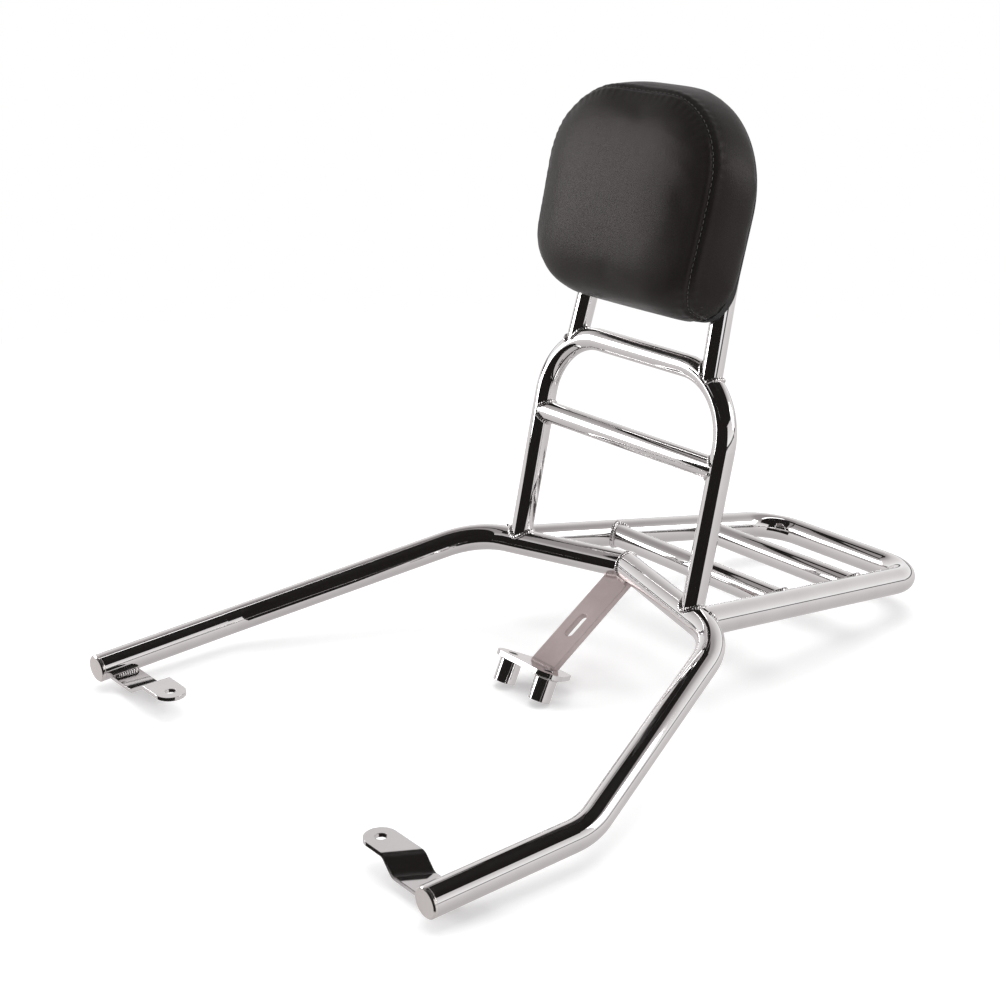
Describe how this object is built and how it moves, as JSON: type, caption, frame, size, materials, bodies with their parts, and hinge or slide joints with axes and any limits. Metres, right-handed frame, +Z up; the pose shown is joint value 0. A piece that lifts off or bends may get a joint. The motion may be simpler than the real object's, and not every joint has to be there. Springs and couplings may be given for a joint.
{
  "type": "motorcycle backrest with luggage rack",
  "caption": "Chromed tube backrest for a motorcycle, with a stitched black pad, a small slatted luggage rack and two long mounting arms.",
  "frame": {"origin": "centre of the mounting plate's lower face, halfway between the two spacers", "axes": "+X is the motorcycle's left, -Y is forward toward the front tabs, +Z is up"},
  "size_m": [0.4652, 0.648, 0.4653],
  "materials": {
    "chrome": "mirror-polished chrome plate on steel tube",
    "bracket_steel": "satin plate on flat steel",
    "weld": "weld beads, plated over",
    "vinyl": "fine-grained black upholstery vinyl, satin",
    "foam": "open foam, hidden",
    "board": "moulded black back board",
    "fasteners": "bright zinc plate"
  },
  "bodies": {
    "root": {"left_side_tube": "chrome", "right_side_tube": "chrome", "left_end_cap": "chrome", "right_end_cap": "chrome", "left_front_tab": "chrome", "right_front_tab": "chrome", "backrest_hoop": "chrome", "hoop_crossbar": "chrome", "pad_hoop": "chrome", "lower_pad_strap": "bracket_steel", "upper_pad_strap": "bracket_steel", "rack_rail": "chrome", "front_rack_slat": "chrome", "rear_rack_slat": "chrome", "center_bracket": "bracket_steel", "mounting_plate": "bracket_steel", "left_spacer": "chrome", "right_spacer": "chrome", "pad_cover": "vinyl", "pad_foam": "foam", "pad_board": "board", "pad_inserts": "fasteners", "pad_screws": "fasteners", "pad_washers": "fasteners", "apex_weld": "weld", "upright_foot_welds": "weld", "crossbar_welds": "weld", "pad_hoop_welds": "weld", "strap_welds": "weld", "rack_rail_welds": "weld", "slat_welds": "weld", "tab_welds": "weld", "bracket_weld": "weld", "plate_weld": "weld", "spacer_welds": "weld"}
  },
  "joints": []
}
